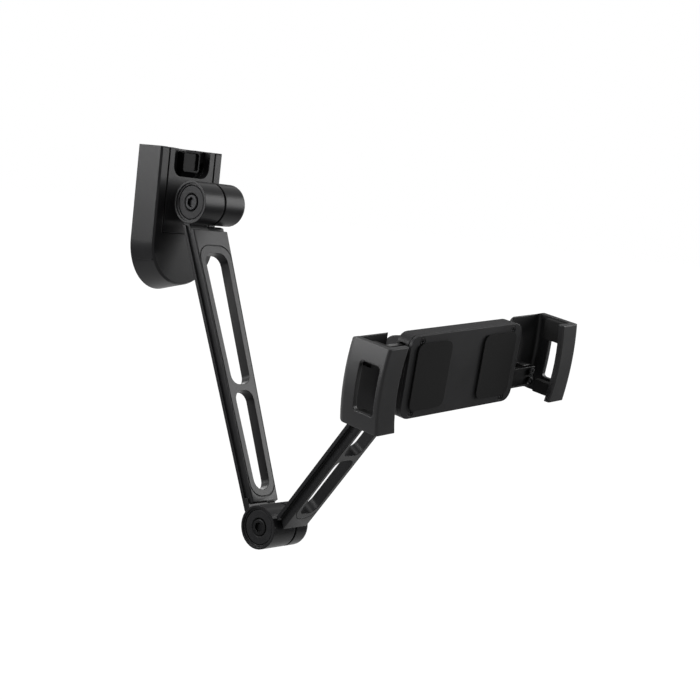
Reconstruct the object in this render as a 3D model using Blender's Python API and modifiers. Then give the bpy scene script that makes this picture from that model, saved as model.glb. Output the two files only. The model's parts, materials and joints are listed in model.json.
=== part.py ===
"""Folding wall mount for tablets, built in metres with +Z up.

The origin is the centre of the flat back that lies on the wall. X runs along the wall, and
-Y points into the room. The two arms, the hinged head and the holder stand as they do when
the mount is half folded, with the two jaws open on a tablet of 135 mm.
"""

import math

import bmesh
import bpy
from mathutils import Matrix

# Clearances between pieces that touch or slide.
GAP = 0.0003
SLIDE_GAP = 0.0004

# Housing: a flat box with a round lower end, its front edge drawn in below.
HOUSING_HALF_WIDTH = 0.025
HOUSING_DEPTH = 0.0182
HOUSING_TOP = 0.041
HOUSING_ROUND_CENTRE = -0.0125
HOUSING_ROUND_DROP = 0.0285
HOUSING_WALL = 0.0024
HOUSING_EDGE = 0.001
LOWER_FRONT_INSET = 0.0053
WALL_SCREW_RADIUS = 0.0022
WALL_SCREW_HEAD_RADIUS = 0.0042
WALL_SCREW_SIDE = 0.0135
WALL_SCREW_HIGH = 0.030
WALL_SCREW_LOW = 0.013
SCREW_BOSS_RADIUS = 0.0052

# Dovetail channel and the plate that slides down into it.
CHANNEL_HALF_WIDTH = 0.019
CHANNEL_DEPTH = 0.005
CHANNEL_LOW = -0.0074
FLANK_ANGLE = math.radians(60)
RECESS_HALF_WIDTH = 0.01425
RECESS_LOW = 0.0251
RECESS_CORNER = 0.006

# Spring catch that keeps the plate from lifting out.
CATCH_HALF_WIDTH = 0.0065
CATCH_LOW = 0.0282
CATCH_HIGH = 0.0402
CATCH_FRONT = -0.0178
CATCH_BACK = -0.0128
CATCH_TRAVEL = 0.003
CATCH_PIN_RADIUS = 0.0022
CATCH_FOOT_HEIGHT = 0.0027
CATCH_SLOT_BACK = -0.0094
CATCH_WALL_BACK = -0.007
SPRING_WIRE_RADIUS = 0.00025

# Hinge barrels of the two arms.
BARREL_RADIUS = 0.01204
BARREL_ROUNDING = 0.003
WALL_HINGE_Y = -0.0352
WALL_HINGE_Z = 0.0114
WALL_BARREL_LEFT = 0.0161
WALL_BARREL_RIGHT = 0.0182
ELBOW_BARREL_LEFT = 0.0145
ELBOW_BARREL_RIGHT = 0.0154
ELBOW_SPLIT = 0.0035
HINGE_BOLT_RADIUS = 0.003
HINGE_HEAD_RADIUS = 0.0045
DISC_RADIUS = 0.0095
RIM_WIDTH = 0.0012
WASHER_THICKNESS = 0.0012
WASHER_RADIUS = 0.0114
CAP_RADIUS = 0.008

# Arms, measured from the axis of the barrel that each starts at.
WALL_ARM_LENGTH = 0.1849
WALL_ARM_LEAN = math.radians(23.1)
FRONT_ARM_LENGTH = 0.131
FRONT_ARM_RISE = math.radians(54.43)
WALL_ARM_SHIFT = -0.001
WALL_ARM_LEDGE = 0.0013
FRONT_ARM_LEDGE = 0.0022
PLATE_THICKNESS = 0.0019
WEB_THICKNESS = 0.0046
WALL_ARM_RIM = 0.0048
FRONT_ARM_RIM = 0.0034
WEB_ROUNDING = 0.001
GROOVE_INSET = 0.0007
GROOVE_WIDTH = 0.0005
GROOVE_DEPTH = 0.0004
PLATE_END_RADIUS = 0.0133
WEB_END_RADIUS = 0.0143

# Head hinge, fork and ball.
KNUCKLE_RADIUS = 0.0085
KNUCKLE_HALF_WIDTH = 0.006
EAR_INNER = 0.0064
EAR_OUTER = 0.0114
FORK_BLOCK_BACK = 0.0092
FORK_BLOCK_FRONT = 0.012
FORK_BLOCK_HALF_HEIGHT = 0.0065
HEAD_BOLT_RADIUS = 0.0025
STEM_DROP = math.radians(5.3)
STEM_LENGTH = 0.0202
STEM_RADIUS = 0.0028
BALL_RADIUS = 0.0065
BAND_RADIUS = 0.0075
SOCKET_CAVITY_RADIUS = 0.0079

# Holder. Depths count from the plane of the tablet's display towards the wall.
HOLDER_TILT = math.radians(8.7)
HOLDER_ROLL = math.radians(-5.6)
HOLDER_PAN = math.radians(-3.1)
BALL_DEPTH = 0.024
BODY_HALF_WIDTH = 0.044
BODY_HALF_HEIGHT = 0.021
BODY_CORNER = 0.006
BODY_WALL = 0.0018
PAD_FRONT = 0.0076
PAD_THICKNESS = 0.0007
FRONT_PLATE_FRONT = 0.0086
FRONT_PLATE_THICKNESS = 0.0018
BACK_WALL_INNER = 0.0162
BACK_WALL_OUTER = 0.0178
SOCKET_RADIUS = 0.0095
SOCKET_END = 0.027
COLLAR_RADIUS = 0.0115
COLLAR_START = 0.020
COLLAR_END = 0.0288
COVER_SCREW_SIDE = 0.036
COVER_SCREW_HIGH = 0.0179

# Rack and pinion that move the jaws together.
TOOTH_MODULE = 0.001
PINION_TEETH = 10
RACK_FRONT = 0.013
RACK_THICKNESS = 0.0026
RACK_TOP = 0.016
RACK_INNER_END = 0.028
RACK_OUTER_END = 0.067
JAW_SHIFT = 0.0013

# Jaws, as distances from the middle of the holder.
JAW_HALF_HEIGHT = 0.021
JAW_OUTER = 0.075
JAW_BOW = 0.0022
JAW_WALL = 0.0025
JAW_REAR_FRONT = 0.0202
JAW_REAR_BACK = 0.0224
JAW_REAR_END = 0.050
JAW_LIP_FRONT = -0.0035
JAW_LIP_BACK = -0.0004
JAW_LIP_EDGE = 0.0615
JAW_LIP_BOW = 0.0028
JAW_ROUNDING = 0.0045
JAW_WINDOW_LOW = -0.0125
JAW_WINDOW_HIGH = 0.0085
JAW_WINDOW_FRONT = -0.0006
JAW_WINDOW_BACK = 0.012
JAW_SCREW_SIDE = 0.0634
GRIP_HALF_WIDTH = 0.0677

ALONG_X = Matrix.Rotation(math.radians(90), 4, "Y")
ALONG_Y = Matrix.Rotation(math.radians(-90), 4, "X")
UPRIGHT = Matrix.Rotation(math.radians(90), 4, "X")
SIDEWAYS = Matrix(((0, 0, 1, 0), (1, 0, 0, 0), (0, 1, 0, 0), (0, 0, 0, 1)))
ROUND_STEPS = 32
SMALL_STEPS = 16


def clear_scene():
    for obj in list(bpy.data.objects):
        bpy.data.objects.remove(obj, do_unlink=True)


def make_collection(name, hidden=False):
    collection = bpy.data.collections.new(name)
    bpy.context.scene.collection.children.link(collection)
    collection.hide_render = hidden
    return collection


def make_material(name, colour, roughness, metallic):
    material = bpy.data.materials.new(name)
    material.use_nodes = True
    shader = material.node_tree.nodes["Principled BSDF"]
    shader.inputs["Base Color"].default_value = (*colour, 1.0)
    shader.inputs["Roughness"].default_value = roughness
    shader.inputs["Metallic"].default_value = metallic
    return material


clear_scene()
PARTS = make_collection("tablet_wall_mount")
CUTTERS = make_collection("cutters", hidden=True)


def make_frame(name, location=(0, 0, 0), rotation=(0, 0, 0), mode="XYZ", parent=None):
    """An empty at a joint's axis or a piece's own datum."""
    frame = bpy.data.objects.new(name, None)
    frame.empty_display_size = 0.01
    frame.rotation_mode = mode
    frame.location = location
    frame.rotation_euler = rotation
    frame.parent = parent
    PARTS.objects.link(frame)
    return frame


def add_object(name, mesh, parent, material, collection):
    """Puts a mesh in the scene, as a sub-part when it has a material and as a cutter when not."""
    obj = bpy.data.objects.new(name, mesh)
    obj.parent = parent
    if material is None:
        obj.hide_render = True
        obj.display_type = "WIRE"
        (collection or CUTTERS).objects.link(obj)
    else:
        mesh.materials.append(material)
        mesh.shade_smooth()
        mesh.set_sharp_from_angle(angle=math.radians(32))
        PARTS.objects.link(obj)
    return obj


def box(name, x, y, z, parent=None, material=None, collection=None):
    """A box between three (low, high) pairs."""
    bm = bmesh.new()
    bmesh.ops.create_cube(bm, size=1)
    size = [high - low for low, high in (x, y, z)]
    centre = [(high + low) / 2 for low, high in (x, y, z)]
    bmesh.ops.scale(bm, vec=size, verts=bm.verts)
    bmesh.ops.translate(bm, vec=centre, verts=bm.verts)
    mesh = bpy.data.meshes.new(name)
    bm.to_mesh(mesh)
    bm.free()
    return add_object(name, mesh, parent, material, collection)


def turned(name, profile, place=ALONG_X, parent=None, material=None, collection=None, steps=ROUND_STEPS):
    """Turns a profile of (along, radius) points round the axis that place lays along X or Y.

    The profile starts at its far end and runs back along the outer side. A bore's profile
    goes on along the inner side and closes.
    """
    mesh = bpy.data.meshes.new(name)
    bm = bmesh.new()
    points = [bm.verts.new((radius, 0, along)) for along, radius in profile]
    hollow = all(radius > 0 for _, radius in profile)
    for first, second in zip(points, points[1:] + (points[:1] if hollow else [])):
        bm.edges.new((first, second))
    bm.to_mesh(mesh)
    bm.free()
    obj = add_object(name, mesh, parent, material, collection)
    screw = obj.modifiers.new("Turn", "SCREW")
    screw.steps = steps
    screw.render_steps = steps
    screw.use_merge_vertices = True
    screw.merge_threshold = 0.00001
    screw.use_smooth_shade = True
    obj.matrix_local = place
    return obj


def rod(name, radius, start, end, place=ALONG_X, parent=None, material=None, collection=None, steps=ROUND_STEPS):
    profile = [(end, 0), (end, radius), (start, radius), (start, 0)]
    return turned(name, profile, place, parent, material, collection, steps)


def tube(name, outer, inner, start, end, place=ALONG_X, parent=None, material=None, steps=ROUND_STEPS):
    profile = [(end, outer), (start, outer), (start, inner), (end, inner)]
    return turned(name, profile, place, parent, material, steps=steps)


def at(place, x=0.0, y=0.0, z=0.0):
    return Matrix.Translation((x, y, z)) @ place


def arc(centre_x, centre_y, radius, start, end, steps):
    """Points on an arc, both ends included, with angles in degrees."""
    angles = [math.radians(start + (end - start) * i / steps) for i in range(steps + 1)]
    return [(centre_x + radius * math.cos(a), centre_y + radius * math.sin(a)) for a in angles]


def rounded_rectangle(x, y, radius, steps=5):
    left, right = x[0] + radius, x[1] - radius
    low, high = y[0] + radius, y[1] - radius
    return (
        arc(right, high, radius, 0, 90, steps)
        + arc(left, high, radius, 90, 180, steps)
        + arc(left, low, radius, 180, 270, steps)
        + arc(right, low, radius, 270, 360, steps)
    )


def circle(x, y, radius, steps=24):
    return arc(x, y, radius, 0, 360, steps)[:-1]


def slab(name, outline, start, end, place=None, holes=(), parent=None, material=None, collection=None):
    """A flat outline with holes, extruded from start to end along its normal."""
    curve = bpy.data.curves.new(name, "CURVE")
    curve.dimensions = "2D"
    curve.fill_mode = "BOTH"
    curve.extrude = abs(end - start) / 2
    for points in (outline, *holes):
        spline = curve.splines.new("POLY")
        spline.points.add(len(points) - 1)
        for point, (x, y) in zip(spline.points, points):
            point.co = (x, y, 0, 1)
        spline.use_cyclic_u = True
    drawn = bpy.data.objects.new(name, curve)
    bpy.context.scene.collection.objects.link(drawn)
    graph = bpy.context.evaluated_depsgraph_get()
    mesh = bpy.data.meshes.new_from_object(drawn.evaluated_get(graph))
    bpy.data.objects.remove(drawn, do_unlink=True)
    bpy.data.curves.remove(curve)
    mesh.name = name
    bm = bmesh.new()
    bm.from_mesh(mesh)
    bmesh.ops.remove_doubles(bm, verts=bm.verts, dist=0.000001)
    bmesh.ops.translate(bm, vec=(0, 0, (start + end) / 2), verts=bm.verts)
    bmesh.ops.transform(bm, matrix=place or Matrix.Identity(4), verts=bm.verts)
    bmesh.ops.recalc_face_normals(bm, faces=bm.faces)
    bm.to_mesh(mesh)
    bm.free()
    mesh.materials.clear()
    return add_object(name, mesh, parent, material, collection)


def loft(name, rings, parent=None, material=None, collection=None):
    """A closed body through rings that have the same number of points."""
    bm = bmesh.new()
    rows = [[bm.verts.new(point) for point in ring] for ring in rings]
    for near, far in zip(rows, rows[1:]):
        for i in range(len(near)):
            j = (i + 1) % len(near)
            bm.faces.new((near[i], near[j], far[j], far[i]))
    bm.faces.new(rows[0])
    bm.faces.new(rows[-1])
    bmesh.ops.recalc_face_normals(bm, faces=bm.faces)
    mesh = bpy.data.meshes.new(name)
    bm.to_mesh(mesh)
    bm.free()
    return add_object(name, mesh, parent, material, collection)


def combine(obj, operation, operands):
    """One Boolean with one helper, or with a group of helpers."""
    modifier = obj.modifiers.new(operation.title(), "BOOLEAN")
    modifier.operation = operation
    modifier.solver = "EXACT"
    if len(operands) == 1:
        modifier.object = operands[0]
        return
    group = bpy.data.collections.new(f"{obj.name}_{operation.lower()}_{len(obj.modifiers)}")
    group.hide_render = True
    CUTTERS.children.link(group)
    for operand in operands:
        for collection in list(operand.users_collection):
            collection.objects.unlink(operand)
        group.objects.link(operand)
    modifier.operand_type = "COLLECTION"
    modifier.collection = group


def soften(obj, width, segments=2, angle=50):
    """Rounds the sharp edges of a finished body."""
    bevel = obj.modifiers.new("Edges", "BEVEL")
    bevel.width = width
    bevel.segments = segments
    bevel.limit_method = "ANGLE"
    bevel.angle_limit = math.radians(angle)


SATIN_BLACK = make_material("satin_black_metal", (0.022, 0.022, 0.024), 0.42, 0.35)
DARK_DISC = make_material("dark_disc", (0.016, 0.016, 0.017), 0.36, 0.4)
BLACK_PLASTIC = make_material("black_plastic", (0.018, 0.018, 0.019), 0.5, 0.0)
GLOSS_BLACK = make_material("gloss_black_catch", (0.008, 0.008, 0.009), 0.25, 0.0)
BLACK_RUBBER = make_material("black_rubber", (0.012, 0.012, 0.012), 0.8, 0.0)
BLACK_STEEL = make_material("black_oxide_steel", (0.03, 0.03, 0.032), 0.34, 0.9)
PLAIN_STEEL = make_material("plain_steel", (0.5, 0.5, 0.51), 0.3, 1.0)
NYLON = make_material("black_nylon", (0.018, 0.018, 0.019), 0.45, 0.0)


# Housing: a die-cast shell, open at the back, with ribs, three screw bosses and the channel.
def housing_ring(half_width, top, drop, y):
    """The flat-topped, round-bottomed outline at one depth. The round end may be an ellipse."""
    steps = 32
    angles = [math.pi * i / steps for i in range(steps + 1)]
    lower = [(half_width * math.cos(a), y, HOUSING_ROUND_CENTRE - drop * math.sin(a)) for a in angles]
    return [(half_width, y, top), *lower, (-half_width, y, top)]


def channel_outline(extra, front, back):
    """The dovetail's section, narrow at the front, with its flanks moved in by extra."""
    def half_width(y):
        return CHANNEL_HALF_WIDTH - extra + (y + HOUSING_DEPTH) / math.tan(FLANK_ANGLE)

    return [
        (-half_width(front), front),
        (half_width(front), front),
        (half_width(back), back),
        (-half_width(back), back),
    ]


CHANNEL_FLOOR = CHANNEL_DEPTH - HOUSING_DEPTH
TRAY_BACK = CHANNEL_FLOOR + HOUSING_WALL
CATCH_CENTRE = (CATCH_LOW + CATCH_HIGH) / 2


def make_housing():
    width, drop, edge = HOUSING_HALF_WIDTH, HOUSING_ROUND_DROP, HOUSING_EDGE
    front = -HOUSING_DEPTH
    rings = [
        housing_ring(width, HOUSING_TOP, drop, 0),
        housing_ring(width, HOUSING_TOP, drop - LOWER_FRONT_INSET + edge, front + edge),
        housing_ring(width - edge, HOUSING_TOP - edge, drop - LOWER_FRONT_INSET, front),
    ]
    housing = loft("wall_housing", rings, material=SATIN_BLACK)
    inside = width - HOUSING_WALL
    ceiling = HOUSING_TOP - HOUSING_WALL
    hollow = loft("housing_hollow", [
        housing_ring(inside, ceiling, drop - HOUSING_WALL, 0.002),
        housing_ring(inside, ceiling, drop - HOUSING_WALL - LOWER_FRONT_INSET + edge, front + HOUSING_WALL + GAP),
    ])
    tray = box("housing_tray", (-0.03, 0.03), (-0.03, TRAY_BACK), (CHANNEL_LOW - HOUSING_WALL, 0.05))
    combine(hollow, "DIFFERENCE", [tray])
    combine(housing, "DIFFERENCE", [hollow])

    rib = 0.0015
    deep = front + 0.0017
    screw_places = ((-WALL_SCREW_SIDE, WALL_SCREW_HIGH), (WALL_SCREW_SIDE, WALL_SCREW_HIGH), (0, WALL_SCREW_LOW))
    ribs = [
        box("upright_rib", (-rib, rib), (deep, 0), (-0.035, 0.024)),
        box("cross_rib", (-0.0235, 0.0235), (deep, 0), (-rib, rib)),
        box("lower_rib", (-0.023, 0.023), (deep, 0), (-0.0235, -0.0205)),
        box("catch_block", (-0.0105, 0.0105), (CHANNEL_FLOOR - 0.001, CATCH_WALL_BACK), (0.022, 0.0403)),
        rod("centre_pad", 0.006, -0.0125, 0, ALONG_Y),
    ]
    for i, (x, z) in enumerate(screw_places):
        ribs.append(rod(f"screw_boss_{i}", SCREW_BOSS_RADIUS, -0.0128, 0, at(ALONG_Y, x=x, z=z), steps=SMALL_STEPS))
    combine(housing, "UNION", ribs)

    channel = slab("channel", channel_outline(0, front - 0.002, CHANNEL_FLOOR), CHANNEL_LOW, 0.045)
    catch_slot = box(
        "catch_slot",
        (-CATCH_HALF_WIDTH - SLIDE_GAP, CATCH_HALF_WIDTH + SLIDE_GAP),
        (CHANNEL_FLOOR - 0.001, CATCH_SLOT_BACK),
        (CATCH_LOW - CATCH_FOOT_HEIGHT - SLIDE_GAP, 0.045),
    )
    pin_hole = rod("pin_hole", CATCH_PIN_RADIUS + SLIDE_GAP, -0.0105, 0.001, at(ALONG_Y, z=CATCH_CENTRE), steps=SMALL_STEPS)
    cuts = [channel, catch_slot, pin_hole]
    head_depth = WALL_SCREW_HEAD_RADIUS - WALL_SCREW_RADIUS
    for i, (x, z) in enumerate(screw_places):
        cuts.append(turned(f"screw_hole_{i}", [
            (0.001, 0),
            (0.001, WALL_SCREW_RADIUS),
            (CHANNEL_FLOOR + head_depth, WALL_SCREW_RADIUS),
            (CHANNEL_FLOOR - 0.0005, WALL_SCREW_HEAD_RADIUS + 0.0005),
            (CHANNEL_FLOOR - 0.0005, 0),
        ], at(ALONG_Y, x=x, z=z), steps=SMALL_STEPS))
    combine(housing, "DIFFERENCE", cuts)


# Slide plate: a dovetail tongue with the fixed half of the wall hinge's barrel on its front.
def rounded_barrel(name, start, end, parent, collection=None):
    """The half of a barrel that ends in a rounded edge, at its far end."""
    corner = arc(end - BARREL_ROUNDING, BARREL_RADIUS - BARREL_ROUNDING, BARREL_ROUNDING, 0, 90, 6)
    return turned(name, [(end, 0), *corner, (start, BARREL_RADIUS), (start, 0)], ALONG_X, parent)


def nut_bore(name, start, pocket, end, parent):
    """The bolt's bore, opening into the pocket for the nut and the cap."""
    return turned(name, [
        (end + 0.001, 0),
        (end + 0.001, CAP_RADIUS + GAP),
        (pocket, CAP_RADIUS + GAP),
        (pocket, HINGE_BOLT_RADIUS + GAP),
        (start - 0.001, HINGE_BOLT_RADIUS + GAP),
        (start - 0.001, 0),
    ], ALONG_X, parent)


def make_slide_plate(hinge):
    back = CHANNEL_FLOOR - GAP
    low = CHANNEL_LOW + SLIDE_GAP
    plate = slab(
        "slide_plate",
        channel_outline(SLIDE_GAP, -HOUSING_DEPTH, back),
        low,
        HOUSING_TOP - 0.0001,
        material=SATIN_BLACK,
    )
    recess = slab(
        "plate_recess",
        rounded_rectangle((-RECESS_HALF_WIDTH, RECESS_HALF_WIDTH), (RECESS_LOW, 0.06), RECESS_CORNER, 8),
        0.010,
        0.022,
        UPRIGHT,
    )
    run = 0.0005 + CATCH_HALF_WIDTH
    relief_front = CATCH_FRONT + CATCH_TRAVEL - GAP
    relief = box("plate_relief", (-run, run), (relief_front, -0.010), (low - 0.001, RECESS_LOW + 0.001))
    combine(plate, "DIFFERENCE", [recess, relief])
    half = WASHER_THICKNESS / 2 + GAP
    barrel = rounded_barrel("plate_barrel", half, WALL_BARREL_RIGHT, hinge)
    neck = box("plate_neck", (half + 0.0001, 0.0152), (-0.0300, -0.0172), (0.0030, 0.0192))
    combine(plate, "UNION", [barrel, neck])
    combine(plate, "DIFFERENCE", [nut_bore("plate_bore", half, 0.0095, WALL_BARREL_RIGHT, hinge)])


# Release catch: a dished push button with a foot under the plate's edge, on a sprung pin.
def make_catch(frame):
    high = (CATCH_HIGH - CATCH_LOW) / 2
    wide = CATCH_HALF_WIDTH
    face = rounded_rectangle((-wide, wide), (-high, high), 0.0016, 4)
    catch = slab("release_catch", face, -CATCH_BACK, -CATCH_FRONT, UPRIGHT, (), frame, GLOSS_BLACK)
    foot = slab("catch_foot", [
        (CATCH_BACK, -high - CATCH_FOOT_HEIGHT),
        (CATCH_BACK, -high + 0.001),
        (-0.0168, -high + 0.001),
        (-0.0164, -high - 0.0006),
        (-0.0152, -high - CATCH_FOOT_HEIGHT),
    ], -0.0058, 0.0058, SIDEWAYS, (), frame)
    combine(catch, "UNION", [foot])
    rim = 0.0011
    dish_face = rounded_rectangle((-wide + rim, wide - rim), (-high + rim, high - rim), 0.0012, 4)
    dish = slab("catch_dish", dish_face, -CATCH_FRONT - 0.0012, -CATCH_FRONT + 0.001, UPRIGHT, (), frame)
    pocket = rod("catch_pocket", 0.0037, -0.0156, -0.012, ALONG_Y, frame, steps=SMALL_STEPS)
    combine(catch, "DIFFERENCE", [dish, pocket])
    pin = turned("catch_pin", [
        (-0.0052, 0),
        (-0.0052, CATCH_PIN_RADIUS),
        (-0.0056, CATCH_PIN_RADIUS),
        (-0.0056, 0.0017),
        (-0.0069, 0.0017),
        (-0.0069, CATCH_PIN_RADIUS),
        (-0.0160, CATCH_PIN_RADIUS),
        (-0.0160, 0),
    ], ALONG_Y, frame, steps=SMALL_STEPS)
    combine(catch, "UNION", [pin])
    clip = tube("catch_clip", 0.004, 0.002, -0.0066, -0.0059, ALONG_Y, frame, PLAIN_STEEL, SMALL_STEPS)
    mouth = box("clip_mouth", (-0.0016, 0.0016), (-0.008, -0.004), (-0.005, 0), frame)
    combine(clip, "DIFFERENCE", [mouth])


def make_catch_spring():
    turns, per_turn = 4, 10
    start, end, radius = -0.0153, -0.0097, 0.0030
    curve = bpy.data.curves.new("catch_spring", "CURVE")
    curve.dimensions = "3D"
    curve.bevel_depth = SPRING_WIRE_RADIUS
    curve.bevel_resolution = 0
    curve.use_fill_caps = True
    spline = curve.splines.new("POLY")
    count = turns * per_turn + 1
    spline.points.add(count - 1)
    for i, point in enumerate(spline.points):
        angle = math.tau * i / per_turn
        y = start + (end - start) * i / (count - 1)
        point.co = (radius * math.cos(angle), y, CATCH_CENTRE + radius * math.sin(angle), 1)
    curve.materials.append(PLAIN_STEEL)
    PARTS.objects.link(bpy.data.objects.new("catch_spring", curve))


# Hinge hardware: a socket-head bolt, a disc round its head, a washer, a nut and a cap.
def socket_bolt(name, head, under_head, end, radius, head_radius, socket, parent):
    """A bolt along X, with its head at the low end and a six-sided socket in it."""
    bolt = turned(name, [
        (end, 0),
        (end, radius - 0.0003),
        (end - 0.0003, radius),
        (under_head, radius),
        (under_head, head_radius),
        (head + 0.0004, head_radius),
        (head, head_radius - 0.0004),
        (head, 0),
    ], ALONG_X, parent, BLACK_STEEL, steps=20)
    key = rod(f"{name}_socket", socket, head - 0.001, head + 0.0016, ALONG_X, parent, steps=6)
    combine(bolt, "DIFFERENCE", [key])
    return bolt


def hex_nut(name, start, end, across_corners, bore, parent):
    nut = rod(name, across_corners, start, end, ALONG_X, parent, BLACK_STEEL, steps=6)
    combine(nut, "DIFFERENCE", [rod(f"{name}_bore", bore, start - 0.001, end + 0.001, ALONG_X, parent, steps=SMALL_STEPS)])


def head_bore(name, end_face, parent, inner):
    """The recess, the disc's seat and the bolt's bore in the left end of a barrel."""
    seat = end_face + 0.0035
    return turned(name, [
        (inner, 0),
        (inner, HINGE_BOLT_RADIUS + GAP),
        (seat, HINGE_BOLT_RADIUS + GAP),
        (seat, DISC_RADIUS + GAP),
        (end_face + 0.0008, DISC_RADIUS + GAP),
        (end_face + 0.0008, BARREL_RADIUS - RIM_WIDTH),
        (end_face - 0.001, BARREL_RADIUS - RIM_WIDTH),
        (end_face - 0.001, 0),
    ], ALONG_X, parent)


def hinge_disc(name, end_face, parent):
    """The flat ring that fills the barrel's end round the bolt's head."""
    bore = HINGE_HEAD_RADIUS + SLIDE_GAP
    turned(name, [
        (end_face + 0.0032, DISC_RADIUS),
        (end_face + 0.0013, DISC_RADIUS),
        (end_face + 0.0010, DISC_RADIUS - 0.0003),
        (end_face + 0.0010, bore + 0.0005),
        (end_face + 0.0015, bore),
        (end_face + 0.0032, bore),
    ], ALONG_X, parent, DARK_DISC)


def make_hinge_hardware(prefix, end_face, washer_at, nut_at, nut_end, far_face, bolt_frame, disc_frame):
    head = end_face + 0.0007
    under = end_face + 0.0035 - GAP
    socket_bolt(f"{prefix}_bolt", head, under, nut_end + 0.0003, HINGE_BOLT_RADIUS, HINGE_HEAD_RADIUS,
                0.0029, bolt_frame)
    hinge_disc(f"{prefix}_disc", end_face, disc_frame)
    tube(f"{prefix}_washer", WASHER_RADIUS, HINGE_BOLT_RADIUS + GAP, washer_at - WASHER_THICKNESS / 2,
         washer_at + WASHER_THICKNESS / 2, ALONG_X, bolt_frame, NYLON)
    hex_nut(f"{prefix}_nut", nut_at, nut_end, 0.0058, HINGE_BOLT_RADIUS + GAP, bolt_frame)
    rod(f"{prefix}_cap", CAP_RADIUS, nut_end + 0.0007, far_face - 0.0002, ALONG_X, bolt_frame, BLACK_PLASTIC)


# Arms: a flat plate with a narrower raised web on it, two long slots and a border groove.
def slot_outline(near, far, half_width, near_corner, far_corner):
    """A slot that narrows along the arm, with round corners of a different size at each end."""
    def corner(side, end, radius, start):
        inward = 1 if end == near else -1
        centre_y = end + inward * radius
        centre_x = side * (half_width(centre_y) - radius)
        return arc(centre_x, centre_y, radius, start, start + 90, 5 if radius > 0.004 else 3)

    return (
        corner(1, far, far_corner, 0)
        + corner(-1, far, far_corner, 90)
        + corner(-1, near, near_corner, 180)
        + corner(1, near, near_corner, 270)
    )


def tapered(near, far, half_width):
    return [
        (half_width(near), near),
        (half_width(far), far),
        (-half_width(far), far),
        (-half_width(near), near),
    ]


def rounded_web(name, span, half_width, face, back, frame):
    """The raised web's tapered block, with the long edges of its face rounded."""
    inward = 1 if back > face else -1
    rings = []
    for turn in (0, 45, 90):
        inset = WEB_ROUNDING * (1 - math.sin(math.radians(turn)))
        level = face + inward * WEB_ROUNDING * (1 - math.cos(math.radians(turn)))
        outline = tapered(*span, lambda y: half_width(y) - inset)
        rings.append([(x, y, level) for x, y in outline])
    rings.append([(x, y, back) for x, y in tapered(*span, half_width)])
    return loft(name, rings, frame)


def make_arm(name, frame, shift, length, plate_low, web_low, half_width, ledge, web_span, slots, groove_span,
             knuckles, bores):
    """One arm in its own frame: y runs along it, and z is the side that its web stands on."""
    plate_z = (plate_low, plate_low + PLATE_THICKNESS)
    web_z = (web_low, web_low + WEB_THICKNESS)
    face, back = (web_z[0], plate_z[1] - 0.001) if web_z[0] < plate_z[0] else (web_z[1], plate_z[0] + 0.001)
    body = make_frame(f"{name}_body", (shift, 0, 0), parent=frame)

    def plate_half_width(y):
        return half_width(y) + ledge

    arm = slab(name, tapered(0.008, length - 0.008, plate_half_width), *plate_z, parent=body, material=SATIN_BLACK)
    web = rounded_web(f"{name}_web", web_span, half_width, face, back, body)
    for body, radius in ((arm, PLATE_END_RADIUS), (web, WEB_END_RADIUS)):
        ends = [
            rod(f"{body.name}_end_{i}", radius, -0.03, 0.03, at(ALONG_X, y=y), frame, steps=64)
            for i, y in enumerate((0, length))
        ]
        combine(body, "DIFFERENCE", ends)
    combine(arm, "UNION", [web, *knuckles])
    holes = [
        slab(f"{name}_slot_{i}", slot_outline(*slot), -0.002, 0.014, parent=body)
        for i, slot in enumerate(slots)
    ]

    def groove_half_width(y):
        return half_width(y) - GROOVE_INSET

    def inner_half_width(y):
        return half_width(y) - GROOVE_INSET - GROOVE_WIDTH

    near, far = groove_span
    outer = slot_outline(near, far, groove_half_width, 0.0085, 0.0085)
    inner = slot_outline(near + GROOVE_WIDTH, far - GROOVE_WIDTH, inner_half_width, 0.0080, 0.0080)
    groove = slab(f"{name}_groove", outer, face - GROOVE_DEPTH, face + GROOVE_DEPTH, None, [inner], body)
    combine(arm, "DIFFERENCE", [groove, *holes, *bores])
    return arm


def make_wall_arm(frame):
    length = WALL_ARM_LENGTH

    def half_width(y):
        return 0.0142 - 0.00345 * (y - 0.016) / 0.157

    def slot_half_width(y):
        return half_width(y) - WALL_ARM_RIM

    hinge_face = -WALL_BARREL_LEFT
    hinge_split = -WASHER_THICKNESS / 2 - GAP
    elbow_face = -ELBOW_BARREL_LEFT
    elbow_split = ELBOW_SPLIT - WASHER_THICKNESS / 2 - GAP
    elbow = make_frame("wall_arm_elbow_end", (0, length, 0), parent=frame)
    knuckles = [
        rod("wall_arm_barrel", BARREL_RADIUS, hinge_face, hinge_split, ALONG_X, frame),
        rod("elbow_barrel", BARREL_RADIUS, elbow_face, elbow_split, ALONG_X, elbow),
        box("wall_arm_neck", (hinge_face + 0.0008, hinge_split - 0.0001), (0.007, 0.017), (0.0044, 0.0080), frame),
        box("elbow_neck", (elbow_face + 0.0014, elbow_split - 0.0001), (length - 0.017, length - 0.007),
            (0.0044, 0.0080), frame),
    ]
    bores = [
        head_bore("wall_arm_bore", hinge_face, frame, 0.001),
        head_bore("elbow_bore", elbow_face, elbow, 0.006),
    ]
    slots = [
        (0.0283, 0.1046, slot_half_width, 0.006, 0.0055),
        (0.1082, 0.1645, slot_half_width, 0.0055, 0.0062),
    ]
    make_arm("wall_arm", frame, WALL_ARM_SHIFT, length, 0.0064, 0.0024, half_width, WALL_ARM_LEDGE,
             (0.0150, 0.1716), slots, (0.0236, 0.1684), knuckles, bores)


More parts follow.
